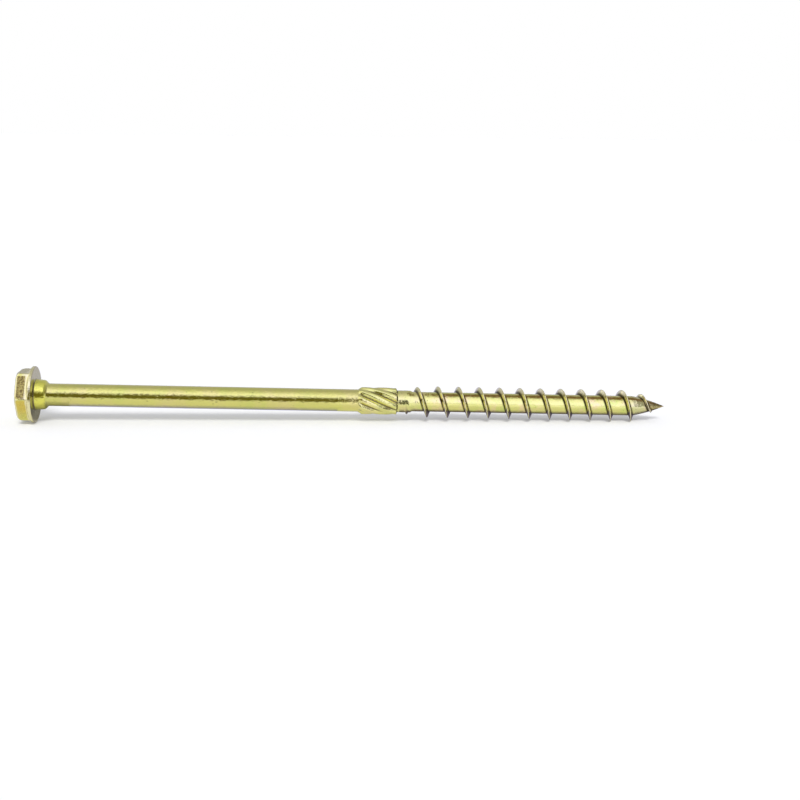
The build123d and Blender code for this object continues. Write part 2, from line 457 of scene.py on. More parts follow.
# %% The plain body under the thread
point_belly = 0.36  # how much the point swells out past a straight cone
point_curve = 2.2  # and how near to its start it does so


def body_radius(along):
    """Neck, core and the swelling point, without the thread."""
    step = np.clip((along - neck_end) / neck_step_length, 0, 1)
    plain = neck_radius + (core_radius - neck_radius) * smooth_step(step)
    to_tip = np.clip((screw_length - along) / point_length, 0, 1)
    swelling = np.clip((1 + point_belly) * to_tip - point_belly * to_tip**point_curve, 0, 1)
    return np.where(along > point_start, core_radius * swelling, plain)


print(f"halfway down the point it is {2 * body_radius(screw_length - point_length / 2):.2f} mm thick")

# %% The crest of the fin
fin_buried = 0.25  # how deep the fin's root lies in the core
fin_end_radius = 0.3


def fin_crest(along):
    """How far the fin's crest is from the axis where it passes this place."""
    turns = (along - thread_start) / thread_pitch
    rise = np.clip(turns / thread_rise_turns, 0, 1)
    growth = np.clip((turns - thread_rise_turns) / (thread_run_in_turns - thread_rise_turns), 0, 1)
    under_neck, rise_radius = neck_radius - fin_buried / 2, thread_rise_diameter / 2
    crest = under_neck + (rise_radius - under_neck) * rise + (thread_radius - rise_radius) * growth
    end = screw_length - thread_end_gap
    run_out = np.clip((along - run_out_start) / (end - run_out_start), 0, 1)
    return np.where(turns < 0, 0, crest + (fin_end_radius - thread_radius) * run_out)


def soft_max(first, second, softness):
    """The larger of two, run together where they are nearly the same, as a fillet."""
    share = np.clip(0.5 + 0.5 * (first - second) / softness, 0, 1)
    return second + (first - second) * share + softness * share * (1 - share)


full_grown = thread_start + thread_run_in_turns * thread_pitch
print(f"the fin grows from {thread_start:.1f} to {full_grown:.1f} mm, and shrinks from {run_out_start:.1f}")

# %% Knit the thread
zone_start, zone_end = thread_start - 1.0, screw_length - 0.7  # where the lines are stopped
root_fillet = 0.22
fillet_reach = 0.3  # the fin matters to the body from this far under its surface
crest_rounding = 0.03
half_crest = thread_crest_width / 2
# Millimetres from the middle of the crest: the crest, the flank, the fillet and the bare core.
flank_steps = [0.05, half_crest, 0.15, 0.27, 0.42, 0.54, 0.66, 0.79, 0.95, 1.2, 1.65, 2.35]
fin_columns = sorted([-step for step in flank_steps] + [0.0] + flank_steps + [thread_pitch / 2])
turn_angles = 360 * np.arange(column_count + 1) / column_count
first_turn = math.floor((zone_start - thread_start) / thread_pitch) - 1
last_turn = math.ceil((zone_end - thread_start) / thread_pitch) + 1


def thread_surface():
    """(lines, columns + 1, 3) points: the last column repeats the first one, a turn later."""
    turns = np.arange(first_turn, last_turn)
    from_crest = np.tile(fin_columns, len(turns))
    starts = np.repeat(thread_start + turns * thread_pitch, len(fin_columns))
    crest_place = starts[:, None] + thread_pitch * (turn_angles[None, :] - thread_turn) / 360
    along = np.clip(crest_place + from_crest[:, None], zone_start, zone_end)
    off = np.abs(along - crest_place)
    rounding = crest_rounding * np.clip(off / half_crest, 0, 1) ** 2
    slope = 1 / tan_deg(thread_flank_angle / 2)
    fin = fin_crest(crest_place) - rounding - np.maximum(off - half_crest, 0) * slope
    body = body_radius(along)
    radius = np.where(fin > body - fillet_reach, soft_max(fin, body, root_fillet), body)
    at_end = (along <= zone_start) | (along >= zone_end)
    return ring(np.where(at_end, body, radius), turn_angles[None, :], along)


thread_points = thread_surface()
print(f"thread: {thread_points.shape[0]} lines of {thread_points.shape[1]} points")

# %% [markdown]
# ## The neck and the tip
# Between the ribs and the thread the screw is bare for a few millimetres. There the columns slide
# from the twisted ribs to the evenly spread ones of the thread. Past the end of the fin, the last
# rings close on the tip.

# %% Knit the neck and the tip
neck_rings = 5
last_rib_angles = rib_angles + twist * rib_length
even_angles, _ = nearest_start(turn_angles[:-1].copy(), last_rib_angles)
for k in range(1, neck_rings + 1):
    share = k / neck_rings
    along = rib_end + (zone_start - rib_end) * share
    rings.append(ring(neck_radius, last_rib_angles + (even_angles - last_rib_angles) * share, along))

tip_places = [zone_end] + [screw_length - from_tip for from_tip in (0.45, 0.22, 0.08, 0.02)]
tip_rings = [ring(body_radius(along), turn_angles[:-1], along) for along in tip_places]
print(f"tip: the last ring is {body_radius(tip_places[-1]):.3f} mm in radius")

# %% [markdown]
# ## Sew it together
# The screw is one piece of steel, so its mesh is one closed skin. Three objects could be joined
# and remeshed, but that would blunt every edge. Instead the rings, the thread and the tip become
# one list of points and one list of faces. Points that lie on each other are merged, which closes
# the seams, and one flat face closes each end.


# %% Points and faces
def grid_faces(first, rows, columns, wrap):
    """Four-sided faces over a grid of points that starts at index first."""
    faces = []
    last = columns if wrap else columns - 1
    for row in range(rows - 1):
        for column in range(last):
            a, b = first + row * columns + column, first + row * columns + (column + 1) % columns
            faces.append((a, b, b + columns, a + columns))
    return faces


pieces = [np.array(rings).reshape(-1, 3), thread_points.reshape(-1, 3), np.array(tip_rings).reshape(-1, 3)]
thread_first = len(pieces[0])
tip_first = thread_first + len(pieces[1])
last_ring = tip_first + len(pieces[2]) - column_count
faces = grid_faces(0, len(rings), column_count, True)
faces += grid_faces(thread_first, len(thread_points), column_count + 1, False)
faces += grid_faces(tip_first, len(tip_rings), column_count, True)
faces.append(tuple(reversed(range(column_count))))
faces.append(tuple(range(last_ring, last_ring + column_count)))
print(f"{sum(len(piece) for piece in pieces)} points and {len(faces)} faces before they are merged")

# %% One closed skin
merge_distance, shortest_edge = 2e-7, 1e-8  # metres
mesh = bpy.data.meshes.new("lag_screw_skin")
mesh.from_pydata(laid_down(np.concatenate(pieces)).tolist(), [], faces)
weld = bmesh.new()
weld.from_mesh(mesh)
bmesh.ops.remove_doubles(weld, verts=weld.verts, dist=merge_distance)
bmesh.ops.dissolve_degenerate(weld, dist=shortest_edge, edges=weld.edges)
bmesh.ops.recalc_face_normals(weld, faces=weld.faces)
open_edges = sum(1 for edge in weld.edges if len(edge.link_faces) != 2)
volume = weld.calc_volume()
weld.to_mesh(mesh)
weld.free()
mesh.shade_smooth()
screw = bpy.data.objects.new("lag_screw_finished", mesh)
bpy.context.scene.collection.objects.link(screw)
print(f"{len(mesh.vertices)} points, {sum(len(p.vertices) - 2 for p in mesh.polygons)} triangles")
print(f"{open_edges} open edges, {volume / MM**3:.0f} cubic millimetres")

# %% Stand for the node, and ride on its body
node = "lag_screw"
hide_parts(node)
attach(screw, "root")
print(screw.name, "stands for", node)

# %% [markdown]
# ## Where the finish and the painted light change
# Chromate drains off a crest and pools in a root, so a crest is a little pale and a root brown; over
# that, a crest gets a painted highlight and a root painted shade. Such marks could be painted by hand
# on an unwrapped image. But the mesh knows where all these places are, so each point gets a few
# numbers, from 0 to 1, that the finish can read.

# %% Where each point of the mesh is on the screw
flat_places = np.empty(len(mesh.vertices) * 3)
mesh.vertices.foreach_get("co", flat_places)
upright = stood_up(flat_places.reshape(-1, 3))
distance = np.hypot(upright[:, 0], upright[:, 1])
angle = np.degrees(np.arctan2(upright[:, 1], upright[:, 0]))
along = upright[:, 2]
to_front = -sin_deg(angle)  # 1 on the side that faces the front, -1 behind
print(f"the points reach from {along.min():.2f} to {along.max():.2f} mm along the axis")


def rises(value, start, full):
    """0 up to start and 1 from full on, smooth between; full may also lie before start."""
    return smooth_step((value - start) / (full - start))


def store_mask(name, values):
    layer = mesh.attributes.new(name, "FLOAT", "POINT")
    layer.data.foreach_set("value", values.astype(np.float32))
    print(f"{name}: {int((values > 0.5).sum())} points")


# %% Painted shade and painted highlight on the thread
mark_fade = 2.0  # millimetres over which they come and go at the ends of the thread
flank_clear, flank_brown = 1.725, 0.225  # heights over the core
front_climb = 0.45  # how much higher the line before the fin climbs at the front
line_before, line_after = -0.62, 0.65  # the middles of the two lines, from the crest's middle
before_clear, before_brown = 0.459, 0.119  # how far from its middle a line is clear, and full
after_clear, after_brown = 0.494, 0.114
pale_from, pale_full = 0.25, 0.7  # shares of the fin's height

# Beside each fin a dark line is painted shade in the root, partly brown chromate that pools there; the line
# before the fin climbs higher on the front side. The upper part of each fin gets a pale painted highlight,
# partly thin chromate.
turns_on = (along - thread_start) / thread_pitch - (angle - thread_turn) / 360
from_crest = (turns_on - np.round(turns_on)) * thread_pitch
height = distance - body_radius(along)
fin_height = np.maximum(fin_crest(along) - body_radius(along), 0.3)
on_thread = rises(along, thread_start, thread_start + mark_fade)
on_thread = on_thread * rises(along, screw_length, screw_length - mark_fade)
crest_mask = on_thread * rises(height / fin_height, pale_from, pale_full)
height_at_front = height - front_climb * rises(to_front, 0.4, 0.8)
root_shade_before = on_thread * rises(height_at_front, flank_clear, flank_brown)
root_shade_before = root_shade_before * rises(np.abs(from_crest - line_before), before_clear, before_brown)
root_shade_after = on_thread * rises(height, flank_clear, flank_brown)
root_shade_after = root_shade_after * rises(np.abs(from_crest - line_after), after_clear, after_brown)

# %% Painted shade in the grooves, at the end of the ribs and round the seat
# The grooves of the ribs get painted shade, and the steep end of each land a painted shadow line.
groove_brown, groove_clear = 0.2 * rib_groove_floor, 1.2 * rib_groove_floor
in_ribs = rises(along, rib_start, rib_start + rib_run_in)
groove_turn = angle - rib_turn + twist * (rib_end - along)
off_groove = np.abs((groove_turn + rib_pitch / 2) % rib_pitch - rib_pitch / 2)
groove_shade_mask = in_ribs * (along < rib_end) * rises(off_groove, groove_clear, groove_brown)
at_rib_end = np.abs(along - rib_end + rib_run_out / 2) < rib_run_out / 2 + 0.02
rib_end_shadow_mask = at_rib_end * rises(off_groove, 6, 11)

# Where the bearing face meets the collar it gets painted shade, which reaches further out on the front side.
on_surface = 0.12  # a point this near to the bearing face counts as on it
seat_shade_reach = 0.5 + 3.7 * rises(to_front, 0.45, 0.85)  # how far it spreads out from the collar
at_seat = (along > -on_surface) & (along < 0.3) & (distance > seat_radius - 0.03)
seat_shade_mask = at_seat * rises(distance - seat_radius, seat_shade_reach, seat_shade_reach - 0.6)
store_mask("root_shade_before", np.maximum(root_shade_before, rib_end_shadow_mask))
store_mask("root_shade_after", np.maximum(np.maximum(root_shade_after, groove_shade_mask), 0.75 * seat_shade_mask))
store_mask("worked", (in_ribs + rises(along, neck_end, neck_end + 4)) / 2)

# %% [markdown]
# ## The sides of the hex
# The hex was trimmed in a die, which tore one side coarse and left the others nearly smooth, and
# the chromate on one of them is golden. Every side has a plain margin where its edges are rounded.
# The sides could be cut out as face groups, but masks can fade at their borders. A side is found
# by its turn round the axis, and counted from the one that lies down.

# %% Coarse and golden sides
top_side, coarse_side, gold_side = 3, 4, 5
side_coarseness = [0.15, 0.35, 0.12, 0.2, 1.0, 0.12]
narrow_margin, wide_margin = 1.2, 4.0  # degrees beside a corner
half_flats = hex_across_flats / 2
side_foot = flange_rim_height + 0.4
side_length = head_height - side_foot - head_edge_bevel
up_side = -side_foot - along  # millimetres from the foot of the side
side_number = np.round(angle / 60).astype(int) % 6
across_side = (angle + 30) % 60  # degrees from the corner before it
on_side = (up_side > 0) & (along > -head_height + 0.2) & (distance > half_flats - 0.3)

margin_before = np.where(side_number == gold_side, narrow_margin, wide_margin)
margin_after = np.where(side_number == coarse_side, narrow_margin, wide_margin)
foot_margin = np.where(side_number == gold_side, 0.05, 0.45)
inner = rises(across_side, margin_before, margin_before + 2)
inner = inner * rises(60 - across_side, margin_after, margin_after + 2)
inner = inner * rises(side_length - up_side, 0.05, 0.4) * rises(up_side, foot_margin, foot_margin + 0.3)
tip_coarseness = 0.75 * rises(along, point_start + 4.5, point_start + 7)
coarse_mask = np.where(on_side, np.take(side_coarseness, side_number) * inner, 0)
amber_share = np.where(on_side & (side_number == gold_side), 1 - 0.8 * rises(across_side, 22, 52), 0)
store_mask("coarse", np.maximum(coarse_mask, tip_coarseness))

# %% [markdown]
# ## Greyed faces, painted highlights and painted bounce light
# The bearing face, the top side of the hex and the point get a greyer, paler colour, while their
# gloss stays the same; on the top side, which faces up, it is a painted reflection of the grey back
# of the tent. The rounded edges of the head, the flange and the crests get a pale painted highlight,
# partly where the chromate is thin, and the ribs and the neck a fainter one. On the collar a
# brighter, richer yellow is painted bounce light from the flange. Cycles has a Pointiness that
# could find the edges, but it would treat all of them alike.

# %% Greyed places, painted highlights and painted bounce light
bearing_face = (along > -on_surface) & (along < 0.1) & (distance > seat_radius)
bearing_face = bearing_face & (distance < flange_radius - 0.1)
on_top_side = on_side & (side_number == top_side)
# Greyer colour: a painted grey reflection on the side that faces up, and a plain greyer tone on the bearing
# face and the point.
greyed_mask = np.where(bearing_face, 1.0, np.where(on_top_side, 0.6, 0.0))
greyed_mask = np.maximum(greyed_mask, 0.5 * rises(along, point_start - 3, point_start + 1))

# Pale painted highlight on the bevel, the flange and the crests, partly thin chromate, and a fainter painted
# highlight on the lands of the ribs and on the neck.
on_bevel = (along < -head_height + 0.95) & (distance > half_flats - 0.6) & ~(inner * on_side > 0.3)
on_flange = (along > -head_height + 1.5) & (along < -0.1) & (distance > half_flats - 0.1)
on_flange = on_flange & ~(on_side & (up_side > foot_margin + 0.3))
rib_and_neck_highlight = 0.15 * in_ribs * rises(along, neck_end + 6, neck_end + 1)
rib_and_neck_highlight = rib_and_neck_highlight * (1 - np.maximum(groove_shade_mask, at_rib_end))
pale_edge_and_highlight_mask = np.maximum(np.maximum(crest_mask, on_bevel | on_flange), rib_and_neck_highlight)
# Painted bounce light: a brighter, richer yellow on the collar, for the light that the flange throws back
# onto it.
collar_bounce_mask = rises(along, 0.1, 0.4) * rises(along, collar_length + 0.8, collar_length + 0.2)
store_mask("greyed", greyed_mask)
store_mask("amber", amber_share * inner)
store_mask("rich", collar_bounce_mask * (distance < seat_radius + 0.1))
store_mask("edge", pale_edge_and_highlight_mask)

# %% [markdown]
# ## Yellow chromate on zinc
# The metal is fully metallic: its colour is the colour of its mirror. Up close it isn't even. The
# chromate film changes in thickness, and drifts between olive green, lemon and a pinkish gold. One
# plain colour would look like paint. Two slow noises that mix a greener and a pinker film into the
# main one give the drift, and a group keeps them together, to be placed with other values.


# %% Small helpers for nodes
def new_group(name, inputs, outputs):
    """An empty shader node group, with the sockets that it is given and those that it makes."""
    group = bpy.data.node_groups.new(name, "ShaderNodeTree")
    for socket_name, kind, default in inputs:
        socket = group.interface.new_socket(name=socket_name, in_out="INPUT", socket_type=kind)
        socket.default_value = default
    for socket_name, kind in outputs:
        group.interface.new_socket(name=socket_name, in_out="OUTPUT", socket_type=kind)
    return group, group.nodes.new("NodeGroupInput").outputs, group.nodes.new("NodeGroupOutput").inputs


def put(tree, socket, value):
    """Feed a socket from another one, or set it to a plain value."""
    if isinstance(value, bpy.types.NodeSocket):
        tree.links.new(value, socket)
    else:
        socket.default_value = value


def add_node(tree, kind, settings=None, **values):
    """A node with its settings; the values are for its inputs, by name, with _ for a space."""
    made = tree.nodes.new(kind)
    for key, value in (settings or {}).items():
        setattr(made, key, value)
    for key, value in values.items():
        put(tree, made.inputs[key.replace("_", " ")], value)
    return made


def mixed(tree, share, first, second):
    """A share of the second colour over the first."""
    mix = add_node(tree, "ShaderNodeMix", {"data_type": "RGBA"})
    for key, value in (("Factor_Float", share), ("A_Color", first), ("B_Color", second)):
        put(tree, next(socket for socket in mix.inputs if socket.identifier == key), value)
    return next(socket for socket in mix.outputs if socket.identifier == "Result_Color")


def scaled(tree, value, low, high, to_low, to_high):
    """A value, spread from one range onto another, and held at its ends."""
    settings = {"From_Min": low, "From_Max": high, "To_Min": to_low, "To_Max": to_high}
    return add_node(tree, "ShaderNodeMapRange", Value=value, **settings).outputs["Result"]


def times(tree, first, second, then_add=0.0):
    """first times second, plus a third."""
    product = add_node(tree, "ShaderNodeMath", {"operation": "MULTIPLY_ADD"})
    for socket, value in zip(product.inputs, (first, second, then_add)):
        put(tree, socket, value)
    return product.outputs["Value"]


# %% Helpers that read the surface
def own_place(tree):
    """Where the shaded place is, in the object's own metres."""
    return tree.nodes.new("ShaderNodeTexCoord").outputs["Object"]


def mask(tree, name):
    return add_node(tree, "ShaderNodeAttribute", {"attribute_name": name}).outputs["Fac"]


def noise_at(tree, place, scale, detail=3.0, seed=0.0):
    """Noise of that many grains to the metre; the seed moves it elsewhere."""
    shift = add_node(tree, "ShaderNodeVectorMath", {"operation": "ADD"})
    put(tree, shift.inputs[0], place)
    put(tree, shift.inputs[1], (seed, 0.7 * seed, 1.3 * seed))
    settings = {"Scale": scale, "Detail": detail, "Roughness": 0.55}
    return add_node(tree, "ShaderNodeTexNoise", Vector=shift.outputs[0], **settings).outputs["Fac"]


# %% A node group for the drifting colour
chromate, given, made = new_group(
    "chromate_drift",
    [
        ("Main", "NodeSocketColor", (0.74, 0.71, 0.20, 1)),
        ("Green", "NodeSocketColor", (0.62, 0.70, 0.15, 1)),
        ("Pink", "NodeSocketColor", (0.80, 0.66, 0.30, 1)),
        ("Drift", "NodeSocketFloat", 0.8),
        ("Scale", "NodeSocketFloat", 120.0),
    ],
    [("Color", "NodeSocketColor")],
)
here = own_place(chromate)
green_noise = noise_at(chromate, here, given["Scale"], seed=3.1)
pink_noise = noise_at(chromate, here, given["Scale"], seed=8.4)
green_share = times(chromate, scaled(chromate, green_noise, 0.48, 0.66, 0, 1), given["Drift"])
pink_share = times(chromate, scaled(chromate, pink_noise, 0.50, 0.68, 0, 1), given["Drift"])
greener = mixed(chromate, green_share, given["Main"], given["Green"])
put(chromate, made["Color"], mixed(chromate, pink_share, greener, given["Pink"]))
print("group:", chromate.name)

# %% [markdown]
# ## The skin of drawn wire
# A drawn and rolled surface looks like a mirror with a very slight orange peel. It is far too fine
# to model, and it is what frays the edges of every reflection, so it becomes a height for a bump.
# A few small pits go into the same height, and come out as a mask too, because they hold dirt.

# %% A node group for the fine relief
relief, given, made = new_group(
    "fine_relief",
    [
        ("Peel", "NodeSocketFloat", 1.0),
        ("Grain", "NodeSocketFloat", 0.12),
        ("Pits", "NodeSocketFloat", 1.0),
    ],
    [("Height", "NodeSocketFloat"), ("Pit mask", "NodeSocketFloat")],
)
pit_depth = 0.4  # against the peel's full height
here = own_place(relief)
stretched = add_node(relief, "ShaderNodeMapping", Vector=here, Scale=(1.0, 0.8, 0.8)).outputs["Vector"]
peel = noise_at(relief, stretched, 1000)
fine = noise_at(relief, here, 2600, detail=2.0, seed=5.0)
pits = scaled(relief, noise_at(relief, here, 1300, detail=1.0, seed=2.2), 0.27, 0.20, 0, 1)
pit_mask = times(relief, pits, given["Pits"])
peel_and_grain = times(relief, fine, given["Grain"], times(relief, peel, given["Peel"]))
put(relief, made["Height"], times(relief, pit_mask, -pit_depth, peel_and_grain))
put(relief, made["Pit mask"], pit_mask)
print("group:", relief.name)

# %% [markdown]
# ## Drained, worn and torn chromate, with painted light and shade
# Over the drifting film lie the marks that the masks were made for, one over another: greyed and
# golden faces, painted bounce light on the collar, painted shade in the roots, partly brown
# chromate, and pale painted highlights on the edges, then the pits, and last the torn metal with
# brown in its tears. Each could be a material of its own, but then every border would be hard. Both
# finishes need the same marks, so these are a group as well. The clear wax is gone where the
# painted root shade is darkest, and the gloss wanders a little.

# %% A node group for the marks and the painted light
stains_and_painted_light, given, made = new_group(
    "chromate_stains_and_painted_light",
    [
        ("Film", "NodeSocketColor", (0.74, 0.71, 0.20, 1)),
        ("Pit mask", "NodeSocketFloat", 0.0),
        ("Smooth", "NodeSocketFloat", 0.10),
        ("Rough", "NodeSocketFloat", 0.20),
    ],
    [("Color", "NodeSocketColor"), ("Roughness", "NodeSocketFloat"), ("Wax", "NodeSocketFloat")],
)
here = own_place(stains_and_painted_light)
coarse = mask(stains_and_painted_light, "coarse")
tears = scaled(stains_and_painted_light, noise_at(stains_and_painted_light, here, 2300, seed=6.0), 0.38, 0.62, 0, 1)
# The greyed faces, the collar, the roots and the edges are painted reflection, bounce light, shade and
# highlight; the golden side, the pits and the torn metal are the metal's own.
layers = [  # the mask, how much of it shows, and the colour
    (mask(stains_and_painted_light, "greyed"), 1.0, (0.66, 0.58, 0.41)),
    (mask(stains_and_painted_light, "amber"), 1.0, (0.76, 0.60, 0.10)),
    (mask(stains_and_painted_light, "rich"), 0.65, (0.88, 0.85, 0.10)),
    (mask(stains_and_painted_light, "root_shade_before"), 1.0, (0.035, 0.025, 0.003)),
    (mask(stains_and_painted_light, "root_shade_after"), 0.95, (0.085, 0.05, 0.008)),
    (mask(stains_and_painted_light, "edge"), 0.75, (0.90, 0.83, 0.54)),
    (given["Pit mask"], 0.6, (0.14, 0.10, 0.03)),
    (coarse, 0.7, (0.42, 0.31, 0.07)),
    (coarse, tears, (0.13, 0.08, 0.012)),
]
tint = given["Film"]
for layer_mask, share, colour in layers:
    tint = mixed(stains_and_painted_light, times(stains_and_painted_light, layer_mask, share), tint, (*colour, 1))
put(stains_and_painted_light, made["Color"], tint)

wax, coarse_roughness = 0.6, 0.18
gloss_noise = noise_at(stains_and_painted_light, here, 420, seed=1.0)
uneven = scaled(stains_and_painted_light, gloss_noise, 0.3, 0.7, given["Smooth"], given["Rough"])
put(stains_and_painted_light, made["Roughness"], times(stains_and_painted_light, coarse, coarse_roughness, uneven))
# The wax is taken off where the painted root shade is darkest, so that its sheen doesn't lighten it.
put(stains_and_painted_light, made["Wax"], times(stains_and_painted_light, mask(stains_and_painted_light, "root_shade_before"), -wax, wax))
print("group:", stains_and_painted_light.name, "with", len(layers), "marks")

# %% [markdown]
# ## Two finishes
# The drawn and rolled surfaces share one finish. The sides of the hex have another, whose grain
# is coarser and whose gloss is lower, because a die trimmed them. Both place the same groups with
# their own values. On the ribs and the thread the film is brighter and drifts faster than on the
# plain wire. A thin clear wax puts a pale sheen on every edge that is seen at a slant.


# %% Build a finish
def placed(tree, group, **values):
    """A node group, placed in a material with its own values."""
    return add_node(tree, "ShaderNodeGroup", {"node_tree": group}, **values).outputs


def zinc_material(name, peel_depth, grain, smooth, rough):
    """Chromated zinc: a metal whose colour, gloss and relief vary over the screw."""
    material = bpy.data.materials.new(name)
    material.use_nodes = True
    tree = material.node_tree
    plain = placed(tree, chromate, Drift=0.45)
    main, green, pink = (0.78, 0.75, 0.24, 1), (0.66, 0.74, 0.19, 1), (0.88, 0.68, 0.38, 1)
    worked = placed(tree, chromate, Main=main, Green=green, Pink=pink, Drift=0.8, Scale=280.0)
    film = mixed(tree, mask(tree, "worked"), plain["Color"], worked["Color"])
    surface = placed(tree, relief, Grain=grain)
    skin = placed(tree, stains_and_painted_light, Film=film, Pit_mask=surface["Pit mask"], Smooth=smooth, Rough=rough)
    bump = add_node(tree, "ShaderNodeBump", Distance=peel_depth * MM, Height=surface["Height"])
    shader = tree.nodes["Principled BSDF"]
    shader.inputs["Metallic"].default_value = 1.0
    shader.inputs["Coat Roughness"].default_value = 0.12
    put(tree, shader.inputs["Base Color"], skin["Color"])
    put(tree, shader.inputs["Roughness"], skin["Roughness"])
    put(tree, shader.inputs["Coat Weight"], skin["Wax"])
    put(tree, shader.inputs["Normal"], bump.outputs["Normal"])
    return material


# %% Put the finishes on
rolled_zinc = zinc_material("rolled_yellow_zinc", peel_depth=0.145, grain=0.10, smooth=0.10, rough=0.20)
trimmed_zinc = zinc_material("trimmed_yellow_zinc", peel_depth=0.15, grain=0.45, smooth=0.18, rough=0.30)
mesh.materials.append(rolled_zinc)
mesh.materials.append(trimmed_zinc)
trimmed = np.array([all(on_side[v] for v in face.vertices) for face in mesh.polygons])
mesh.polygons.foreach_set("material_index", trimmed.astype(np.int32))
print(f"{trimmed.sum()} faces on the sides of the hexagon")

# %% [markdown]
# ## A white table
# The floor is matt and nearly white. To the camera it also glows a little, so that it comes out
# pure white wherever the light reaches it, while the shadow under the screw stays. A shadow catcher
# would need a compositor for that. From below the floor is clear, so that the underside of the
# screw can be looked at through it.


# %% Helpers for the studio
def stage_object(name, points, faces, material):
    """A piece of the studio."""
    made_mesh = bpy.data.meshes.new(name)
    made_mesh.from_pydata([Vector(point) for point in points], [], faces)
    made_mesh.materials.append(material)
    made = bpy.data.objects.new(name, made_mesh)
    bpy.context.scene.collection.objects.link(made)
    made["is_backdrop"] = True
    return made


def light_path(tree, ray):
    return tree.nodes.new("ShaderNodeLightPath").outputs[ray]


# %% Floor
reach = 6.0  # metres
glow_to_camera = 0.18
floor_material = bpy.data.materials.new("white_table")
floor_material.use_nodes = True
tree = floor_material.node_tree
shader = tree.nodes["Principled BSDF"]
shader.inputs["Base Color"].default_value = (0.84, 0.84, 0.84, 1)
shader.inputs["Roughness"].default_value = 1.0
shader.inputs["Specular IOR Level"].default_value = 0.0
shader.inputs["Emission Color"].default_value = (0.80, 0.83, 1, 1)
put(tree, shader.inputs["Emission Strength"], times(tree, light_path(tree, "Is Camera Ray"), glow_to_camera))
from_above = tree.nodes.new("ShaderNodeMixShader")
put(tree, from_above.inputs["Fac"], tree.nodes.new("ShaderNodeNewGeometry").outputs["Backfacing"])
put(tree, from_above.inputs[1], shader.outputs[0])
put(tree, from_above.inputs[2], tree.nodes.new("ShaderNodeBsdfTransparent").outputs[0])
put(tree, tree.nodes["Material Output"].inputs["Surface"], from_above.outputs[0])
corners = [(-reach, -reach, 0), (reach, -reach, 0), (reach, reach, 0), (-reach, reach, 0)]
stage_object("floor", corners, [(0, 1, 2, 3)], floor_material)
print(f"the table is {2 * reach:.0f} metres square")

# %% [markdown]
# ## The sky and the sun of the studio
# The world is a white room. It lights the screw at about half strength, and is seen and mirrored
# at full strength. A broad sun from the front, well above, throws the soft shadow under the screw.
# An area light could too, but a sun is as bright at the point as at the head. It would also put a
# hard glint on the metal, which the tent below does better, so the metal doesn't see it.

# %% World
room_light = 0.55
world = bpy.data.worlds.new("studio")
bpy.context.scene.world = world
world.use_nodes = True
tree = world.node_tree
background = tree.nodes["Background"]
background.inputs["Color"].default_value = (1, 1, 1, 1)
shown = light_path(tree, "Is Camera Ray")
for ray in ("Is Glossy Ray", "Is Transmission Ray"):
    either = add_node(tree, "ShaderNodeMath", {"operation": "ADD", "use_clamp": True})
    put(tree, either.inputs[0], shown)
    put(tree, either.inputs[1], light_path(tree, ray))
    shown = either.outputs[0]
put(tree, background.inputs["Strength"], scaled(tree, shown, 0, 1, room_light, 1.0))
print("the room lights at", room_light)

# %% Sun
sun_height = 46.0
sun_data = bpy.data.lights.new("front_light", "SUN")
sun_data.energy = 2.1
sun_data.angle = math.radians(21)
sun = bpy.data.objects.new("front_light", sun_data)
sun.location = (0, -cos_deg(sun_height), sin_deg(sun_height))
sun.rotation_euler = (-sun.location).to_track_quat("-Z", "Y").to_euler()
sun.visible_glossy = False
bpy.context.scene.collection.objects.link(sun)
print(f"the sun stands {sun_height:.0f} degrees high")

# %% [markdown]
# ## The light tent
# A shiny thing looks like what stands around it, so in a studio it goes into a tent of white
# cloth. The tent here is half a tube over the screw, bright and a little blue in front, and darker
# over the top and behind. Its end by the head is bright, and its end by the point is dim. An image
# of a studio could do the same, but its light couldn't be set so simply. Only the metal can see it.


# %% Cloth of the tent
def only_for_gloss(piece):
    """The piece is seen in reflections alone, and neither lights nor shades anything."""
    piece.visible_camera = False
    piece.visible_diffuse = False
    piece.visible_shadow = False
    piece.visible_transmission = False


def emitter(name):
    """A material that only glows, with its node tree and its emission node."""
    material = bpy.data.materials.new(name)
    material.use_nodes = True
    tree = material.node_tree
    tree.nodes.remove(tree.nodes["Principled BSDF"])
    glow = tree.nodes.new("ShaderNodeEmission")
    put(tree, tree.nodes["Material Output"].inputs["Surface"], glow.outputs[0])
    return material, tree, glow


def object_place(tree):
    """The X, Y and Z of the shaded place, in the object's own metres."""
    return add_node(tree, "ShaderNodeSeparateXYZ", Vector=own_place(tree)).outputs


# %% Light of the tent
half_turn = 180.0
tent_light = [  # degrees up from the front, brightness, and how blue it is
    (0, 1.32, 1.45), (35, 1.32, 1.45), (48, 1.22, 1.28), (57, 1.20, 1.25), (67, 1.02, 1.2),
    (79, 0.83, 1.1), (92, 0.67, 1.05), (106, 0.55, 1.0), (123, 0.50, 1.0), (half_turn, 0.53, 1.0),
]
tent_material, tree, glow = emitter("tent_cloth")
place_on_tent = object_place(tree)
around = add_node(tree, "ShaderNodeMath", {"operation": "ARCTAN2"})
put(tree, around.inputs[0], place_on_tent["Z"])
put(tree, around.inputs[1], times(tree, place_on_tent["Y"], -1.0))
share = scaled(tree, around.outputs[0], 0, math.radians(half_turn), 0, 1)
cloth = add_node(tree, "ShaderNodeValToRGB", Fac=share)
stops = cloth.color_ramp.elements
while len(stops) < len(tent_light):
    stops.new(0.5)
brightest = max(light * blue for _, light, blue in tent_light)
for stop, (degrees, light, blue) in zip(stops, tent_light):
    stop.position = degrees / half_turn
    stop.color = (light / brightest, light / brightest, light * blue / brightest, 1)
put(tree, glow.inputs["Color"], cloth.outputs["Color"])
glow.inputs["Strength"].default_value = brightest
print(len(stops), "stops from the front of the tent to its back")

